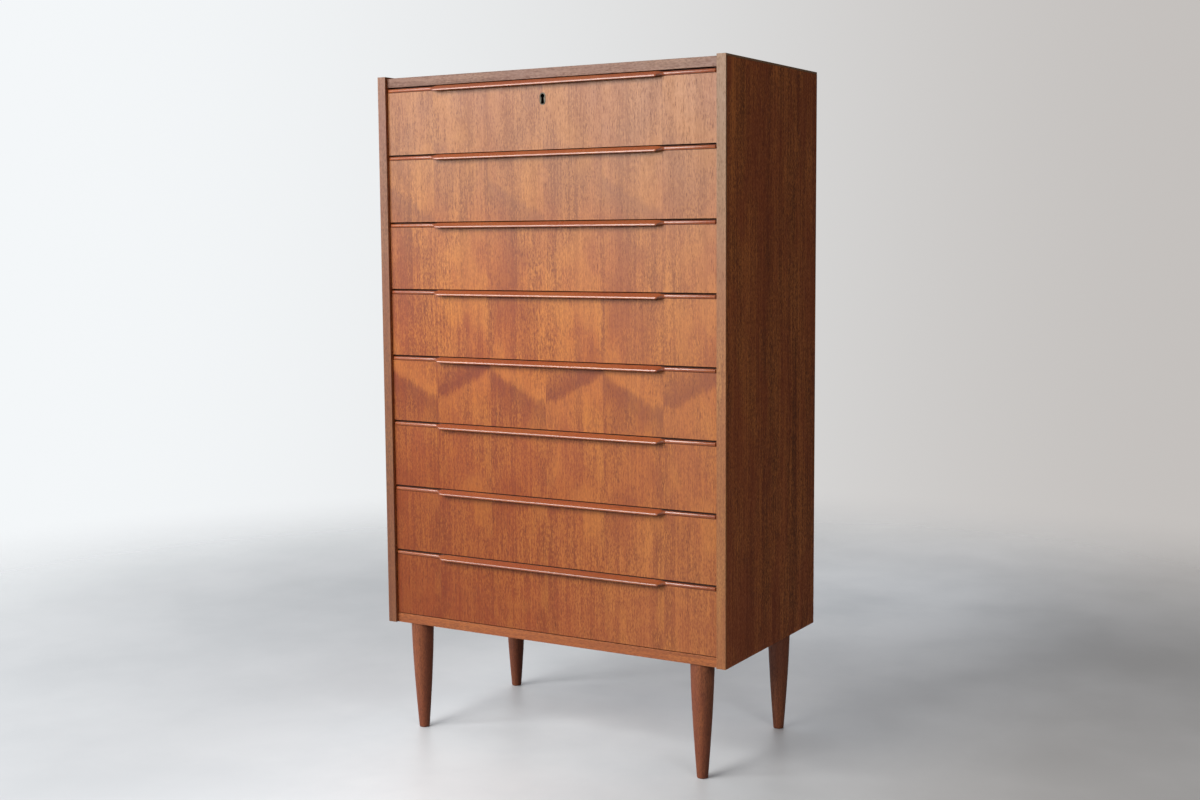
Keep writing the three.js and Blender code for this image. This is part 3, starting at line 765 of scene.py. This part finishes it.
def lip_section():
    """Reach and height of the lip: a straight slope, three arcs round the nose, and the finger cove.

    The arcs follow on from each other: a tight shoulder, a flat front and a tight lower edge.
    """
    shoulder, front, edge = 1.5 * MM, 5 * MM, 1 * MM
    upper, lower = math.radians(25), math.radians(-5)
    way = np.array([[math.cos(upper), math.sin(upper)], [math.cos(lower), math.sin(lower)]])
    start = np.array([BEAD_REACH / 2, 0.0])
    front_centre = np.array([LIP_REACH - front, 0.0])
    shoulder_centre = front_centre + (front - shoulder) * way[0]
    meet = shoulder_centre + shoulder * np.array([math.sin(LIP_SLOPE), math.cos(LIP_SLOPE)])
    drop = -(meet[0] - start[0]) * math.tan(LIP_SLOPE) - meet[1]
    fall = np.array([0.0, drop])
    edge_centre = front_centre + (front - edge) * way[1]
    slope = start + np.linspace(0, 1, 12, endpoint=False)[:, None] * (meet + fall - start)
    nose = np.concatenate([arc(shoulder_centre + fall, shoulder, 60, 25, 6),
                           arc(front_centre + fall, front, 25, -5, 8)[1:],
                           arc(edge_centre + fall, edge, -5, -112, 9)[1:]])
    rear = (-QUIRK_DEPTH, strip_foot - strip_top)
    cove = bow(nose[-1], (0.9 * LIP_REACH, -COVE_RISE), rear, 16)
    return np.concatenate([slope, nose, cove])


def bead_section():
    """The bead, with as many points as the lip: a flat front between rounded corners, below a set-back."""
    corner = 2.2 * MM
    upper = arc((BEAD_REACH - corner, -BEAD_QUIRK - corner), corner, 90, 20, 12)
    lower = arc((BEAD_REACH - corner, -BEAD_HEIGHT + corner), corner, -20, -90, 9)
    t = np.linspace(0, 1, 19)[1:-1, None]
    middle = upper[-1] + t * (lower[0] - upper[-1])
    middle[:, 0] += 0.5 * MM * (1 - (2 * t[:, 0] - 1) ** 2)
    setback = [(-RECESS_DEPTH, 0.0), (-RECESS_DEPTH, -BEAD_QUIRK)]
    rear = np.array([-QUIRK_DEPTH, strip_foot - strip_top])
    t = np.linspace(0, 1, 10)[1:, None]
    return np.concatenate([setback, upper, middle, lower, lower[-1] + t * (rear - lower[-1])])


def handle_strip():
    """The strip along the top of a front: a section carried along x and changed on the way.

    Within the lip the section is the lip's, beyond it the bead's. Along each end of the lip it is
    (1 - s) bead + s lip, where s = 3t^2 - 2t^3. Near both ends of the strip the bead curves back as
    sqrt(1 - e^2), and its last stretch is set back.
    """
    lip, bead = lip_section(), bead_section()
    half = board_high.x
    t = np.linspace(0, 1, 25)
    share = 3 * t**2 - 2 * t**3
    rounding = np.sin(np.linspace(0, math.pi / 2, 8))[::-1]
    start = half - BEAD_QUIRK
    bead_end = start - BEAD_END * (1 - rounding)
    places = np.concatenate([[half, start], bead_end, LIP_HALF_WIDTH - LIP_END * t])
    blend = np.concatenate([np.zeros(2 + len(rounding)), share])
    forward = np.concatenate([[0.0, 0.0], np.sqrt(1 - rounding**2), np.ones(len(t))])
    places = np.concatenate([places, -places[::-1]])
    blend = np.concatenate([blend, blend[::-1]])
    forward = np.concatenate([forward, forward[::-1]])
    sections = bead + blend[:, None, None] * (lip - bead)
    fullness = np.maximum(sections[:, :, 0] + RECESS_DEPTH, 0.0)
    reach = fullness * forward[:, None] - RECESS_DEPTH
    back = face_y - board_back
    foot = strip_foot - strip_top
    tail = np.array([(-RECESS_DEPTH, foot), (back, foot), (back, 0.0)])
    rings = np.empty((len(places), len(bead) + len(tail), 3))
    rings[:, :, 0] = places[:, None]
    rings[:, : len(bead), 1] = face_y - reach
    rings[:, : len(bead), 2] = strip_top + sections[:, :, 1]
    rings[:, len(bead):, 1] = face_y - tail[:, 0]
    rings[:, len(bead):, 2] = strip_top + tail[:, 1]
    return rings.reshape(-1, 3), ring_faces(len(places), rings.shape[1])


def front_board():
    """A board with a groove for the drawer bottom across its back."""
    groove_y = board_back - PLY_GROOVE
    section = [(face_y, 0), (board_back, 0), (board_back, ply_groove_foot), (groove_y, ply_groove_foot),
               (groove_y, ply_groove_top), (board_back, ply_groove_top), (board_back, board_height),
               (face_y, board_height)]
    return prism(section, "x", board_low.x, board_high.x)


def finger_levels():
    """Heights of the finger joints' edges, from the top of the drawer bottom to the top of the box back."""
    above_ply = [ply_groove_top, ply_groove_top + FINGER]
    return above_ply + [groove_top + count * FINGER for count in range(4)]


def box_side(hand):
    """A box side: an outline in y and z whose back end is cut into fingers, grooved on both faces."""
    a0, a1, a2, a3, a4, a5 = finger_levels()
    front, back = box_low.y, box_high.y
    notch = back - BOX_WALL
    outline = [(front, box_foot), (back, box_foot), (back, a0), (notch, a0), (notch, a1), (back, a1),
               (back, a2), (notch, a2), (notch, a3), (back, a3), (back, a4), (notch, a4), (notch, a5),
               (back, a5), (back, box_top), (front, box_top)]
    x0, x1 = sorted((hand * box_inner, hand * box_x))
    board = prism(outline, "x", x0, x1)
    far = MM
    g0, g1 = sorted((hand * (box_x - GROOVE_DEPTH), hand * (box_x + far)))
    runner_groove = block((g0, front - far, groove_foot), (g1, back + far, groove_top))
    p0, p1 = sorted((hand * (box_inner - far), hand * (box_inner + PLY_GROOVE)))
    bottom_groove = block((p0, front - far, ply_groove_foot), (p1, back + far, ply_groove_top))
    return carved(board, [runner_groove, bottom_groove])


def box_back():
    """The box back: an outline in x and z with fingers at both ends that fill the sides' notches."""
    a0, a1, a2, a3, a4, a5 = finger_levels()
    top = box_top - BACK_STEP
    right = [(box_inner, a0), (box_x, a0), (box_x, a1), (box_inner, a1), (box_inner, a2), (box_x, a2),
             (box_x, a3), (box_inner, a3), (box_inner, a4), (box_x, a4), (box_x, min(a5, top)),
             (box_inner, min(a5, top)), (box_inner, top)]
    outline = right + [(-x, z) for x, z in right[::-1]]
    return prism(outline, "y", box_high.y - BOX_WALL, box_high.y)


def keyhole(grow):
    """Outline of the keyhole in x and z: most of a circle over a slot that widens downwards."""
    low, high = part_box("keyhole_escutcheon")
    middle = (low.z + high.z) / 2
    radius, half_height = 4.2 * MM, 9.3 * MM
    waist, foot = 2.3 * MM, 3.9 * MM
    centre = middle + half_height - radius
    start = math.asin((waist + grow) / (radius + grow))
    turn = np.linspace(start - math.pi / 2, 1.5 * math.pi - start, 40)
    head = np.stack([(radius + grow) * np.cos(turn), centre + (radius + grow) * np.sin(turn)], axis=1)
    slot = [(-foot - grow, middle - half_height - grow), (foot + grow, middle - half_height - grow)]
    return np.concatenate([slot, head])


def oval(grow):
    """Outline of the escutcheon in x and z: two half circles joined by straight sides."""
    low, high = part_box("keyhole_escutcheon")
    radius = (high.x - low.x) / 2
    turn = np.linspace(0, math.pi, 24)
    centre = high.z - radius
    half = np.stack([(radius + grow) * np.cos(turn), centre + (radius + grow) * np.sin(turn)], axis=1)
    lower = np.stack([-half[:, 0], low.z + high.z - half[:, 1]], axis=1)
    return np.concatenate([half, lower])


def lock():
    """Lock case with its mouth and keyway, the bolt, and the escutcheon let into the front."""
    case_low, case_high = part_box("lock_case")
    bolt_low, bolt_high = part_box("lock_bolt")
    plate_low, plate_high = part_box("keyhole_escutcheon")
    wall = 2 * MM
    mouth = block((bolt_low.x - MM, case_low.y + wall, case_low.z + 3 * wall),
                  (bolt_high.x + MM, case_high.y - wall, case_high.z + wall))
    keyway = prism(keyhole(0), "y", case_low.y - wall, (case_low.y + case_high.y) / 2)
    case = carved(carved(block(case_low, case_high), [mouth]), [keyway])
    piece("lock_case", "drawer_1", case, "steel", ["lock_case"], BOARD_ARRIS)
    bolt = block(bolt_low, bolt_high)
    piece("lock_bolt", "lock_bolt", bolt, "steel", ["lock_bolt"], LIPPING_ARRIS)
    plate = prism(oval(0), "y", plate_low.y, plate_high.y)
    plate = carved(plate, [prism(keyhole(0), "y", plate_low.y - wall, plate_high.y + wall)])
    piece("keyhole_escutcheon", "drawer_1", plate, "nickel",
          ["keyhole_escutcheon"], 0.35 * MM)
    # Painted shade: a near-black lining that keeps the keyway dark.
    lining = prism(keyhole(PLAY), "y", plate_high.y, case_low.y)
    lining = carved(lining, [prism(keyhole(0), "y", plate_high.y - wall, case_low.y + wall)])
    piece("keyway_lining", "drawer_1", lining, "keyway_shade")
    fixings = [(x, case_high.y, z) for x in (-15 * MM, 15 * MM)
               for z in (case_low.z + 6 * MM, case_high.z - 6 * MM)]
    piece("lock_pins", "drawer_1", pin_heads(fixings, 2 * MM), "steel")


def locked_parts(board, strip, height):
    """The top drawer's board and handle strip, cut for the lock, its key and its bolt."""
    case_low, case_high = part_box("lock_case")
    bolt_low, bolt_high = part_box("lock_bolt")
    plate_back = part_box("keyhole_escutcheon")[1].y
    pocket = block((case_low.x - PLAY, case_low.y - PLAY, case_low.z - PLAY),
                   (case_high.x + PLAY, case_high.y + MM, case_high.z + MM))
    seat = prism(oval(PLAY), "y", face_y - MM, plate_back + PLAY)
    keyway = prism(keyhole(2 * PLAY), "y", face_y - MM, case_low.y + MM)
    slot = block((bolt_low.x - 2 * PLAY, bolt_low.y - 2 * PLAY, case_high.z - MM),
                 (bolt_high.x + 2 * PLAY, bolt_high.y + 2 * PLAY, front_top + height))
    board = carved(carved(raised(board, height), [pocket, seat]), [keyway])
    return board, carved(raised(strip, height), [slot])


def drawers():
    """Eight drawers: front board, handle strip, two box sides, box back and bottom."""
    board, strip, back = front_board(), handle_strip(), box_back()
    sides = {"left": box_side(-1), "right": box_side(1)}
    bottom = block((bottom_low.x, bottom_low.y, ply_foot), (bottom_high.x, bottom_high.y, ply_top))
    for number in range(1, 9):
        name = f"drawer_{number}"
        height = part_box(name + "_front")[0].z
        if number == 1:
            front, handle = locked_parts(board, strip, height)
        else:
            front, handle = raised(board, height), raised(strip, height)
        piece(name + "_front", name, front, "front", [name + "_front"], 0.35 * MM)
        piece(name + "_handle", name, handle, "handle", [name + "_handle"])
        for side, shell in sides.items():
            piece(f"{name}_side_{side}", name, raised(shell, height), "box",
                  [name + "_box"], BOARD_ARRIS)
        piece(name + "_back", name, raised(back, height), "box_back",
              [name + "_box"], BOARD_ARRIS)
        piece(name + "_bottom", name, raised(bottom, height), "bottom",
              [name + "_bottom"])


# ---------------------------------------------------------------------------------------------- studio

def floor():
    """A round pale floor that fades out towards its rim, and that is clear from below."""
    fade_start, radius = 1.25, 3.2
    rings = np.linspace(radius, radius * 0.01, 8)
    angle = np.linspace(0, 2 * math.pi, 128, endpoint=False)
    points = np.zeros((len(rings), len(angle), 3))
    points[:, :, 0] = rings[:, None] * np.cos(angle)
    points[:, :, 1] = rings[:, None] * np.sin(angle)
    faces = ring_faces(len(rings), len(angle))[:-2]
    inner = list(range((len(rings) - 1) * len(angle), len(rings) * len(angle)))
    mesh = new_mesh("floor", (points.reshape(-1, 3), faces + [inner]))
    material, g, shader, place = new_material("floor_paint")
    cloud = g.noise(place, 2.3, 5.0, 0.6, 1.0)
    paint = g.mix(g.step(cloud, 0.3, 0.7), srgb(216, 220, 224), srgb(228, 231, 234))
    x = g.parts(place)[0]
    # Painted shade: the floor is darker towards the left and, more so, towards the right.
    paint = g.mix(g.step(x, -0.8, 0.0, 0.62, 0.0), paint, srgb(160, 164, 168))
    paint = g.mix(g.step(x, 0.1, 0.9, 0.0, 0.75), paint, srgb(144, 137, 130))
    seen = g.add("ShaderNodeLightPath").outputs["Is Camera Ray"]
    g.feed(g.mix(seen, srgb(140, 138, 136), paint), shader["Base Color"])
    g.feed(g.step(cloud, 0.3, 0.7, 0.5, 0.38), shader["Roughness"])
    distance = g.add("ShaderNodeVectorMath", {0: place}, operation="LENGTH").outputs["Value"]
    rim = g.step(distance, fade_start, radius * 0.97, 1.0, 0.0)
    below = g.add("ShaderNodeNewGeometry").outputs["Backfacing"]
    g.feed(g.times(rim, g.minus(1.0, below)), shader["Alpha"])
    mesh.materials.append(material)
    thing = bpy.data.objects.new("floor", mesh)
    bpy.context.scene.collection.objects.link(thing)


def softbox(name, place, target, size, power, colour=(1.0, 1.0, 1.0)):
    """A large soft rectangular light turned towards a point."""
    lamp = bpy.data.lights.new(name, "AREA")
    lamp.shape = "RECTANGLE"
    lamp.size, lamp.size_y = size
    lamp.energy = power
    lamp.color = colour
    thing = bpy.data.objects.new(name, lamp)
    thing.location = place
    thing.rotation_euler = (Vector(target) - Vector(place)).to_track_quat("-Z", "Y").to_euler()
    bpy.context.scene.collection.objects.link(thing)


def studio():
    """A pale surround that the camera sees, a dimmer one that lights the piece, and four soft lights."""
    world = bpy.data.worlds.new("surround")
    world.use_nodes = True
    g = Graph(world.node_tree)
    world.node_tree.nodes.clear()
    toward = g.parts(g.add("ShaderNodeTexCoord").outputs["Generated"])
    # Painted light and shade on the surround that the camera sees: lighter to the left, darker to the
    # right.
    seen = g.mix(g.step(toward[0], -0.78, -0.15), srgb(244, 247, 249), srgb(196, 192, 189))
    wall = g.add("ShaderNodeBackground", {0: seen, 1: 1.0})
    left = g.step(toward[0], -0.5, 0.25, 1.0, 0.0)
    behind = g.step(toward[1], -0.2, 0.6)
    glow = g.plus(0.05, g.times(left, g.plus(0.18, g.times(behind, 1.1))))
    light = g.mix(glow, (0.0, 0.0, 0.0, 1.0), (1.0, 1.02, 1.06, 1.0))
    air = g.add("ShaderNodeBackground", {0: light, 1: 1.0})
    by_camera = g.add("ShaderNodeLightPath").outputs["Is Camera Ray"]
    mixed = g.add("ShaderNodeMixShader", {0: by_camera, 1: air.outputs[0], 2: wall.outputs[0]})
    output = g.add("ShaderNodeOutputWorld")
    g.feed(mixed.outputs[0], output.inputs[0])
    bpy.context.scene.world = world
    middle = (0.0, 0.0, 0.75)
    softbox("side_window", (-3.4, -0.7, 1.5), middle, (1.8, 1.6), 30, (1.0, 0.99, 0.97))
    softbox("window", (-2.5, -2.7, 2.2), middle, (1.3, 1.9), 72, (1.0, 0.99, 0.97))
    softbox("wash", (-1.0, -3.2, 2.3), middle, (1.6, 2.4), 114, (1.0, 0.985, 0.96))
    softbox("fill", (3.2, -2.4, 2.0), middle, (1.6, 1.6), 34)
    bpy.context.scene.view_settings.view_transform = "Standard"


def camera():
    """A standing view from the right of the front, looking slightly down."""
    yaw, pitch, roll = math.radians(30.51), math.radians(5.95), math.radians(-0.43)
    data = bpy.data.cameras.new("camera")
    data.sensor_width = 36
    data.lens = 47.61
    thing = bpy.data.objects.new("camera", data)
    turn = Matrix.Rotation(yaw, 4, "Z") @ Matrix.Rotation(math.pi / 2 - pitch, 4, "X")
    place = Matrix.Translation((1.5917, side_front - 2.4946, 0.9916))
    thing.matrix_world = place @ turn @ Matrix.Rotation(roll, 4, "Z")
    bpy.context.scene.collection.objects.link(thing)
    bpy.context.scene.camera = thing


camera()
side_panel("side_panel_left", -1)
side_panel("side_panel_right", 1)
shelf("top_panel", [strike_mortise()])
shelf("bottom_panel")
back_panel()
for leg_name in ("leg_front_left", "leg_front_right", "leg_rear_left", "leg_rear_right"):
    leg(leg_name)
runners("left", -1)
runners("right", 1)
drawers()
lock()
floor()
studio()
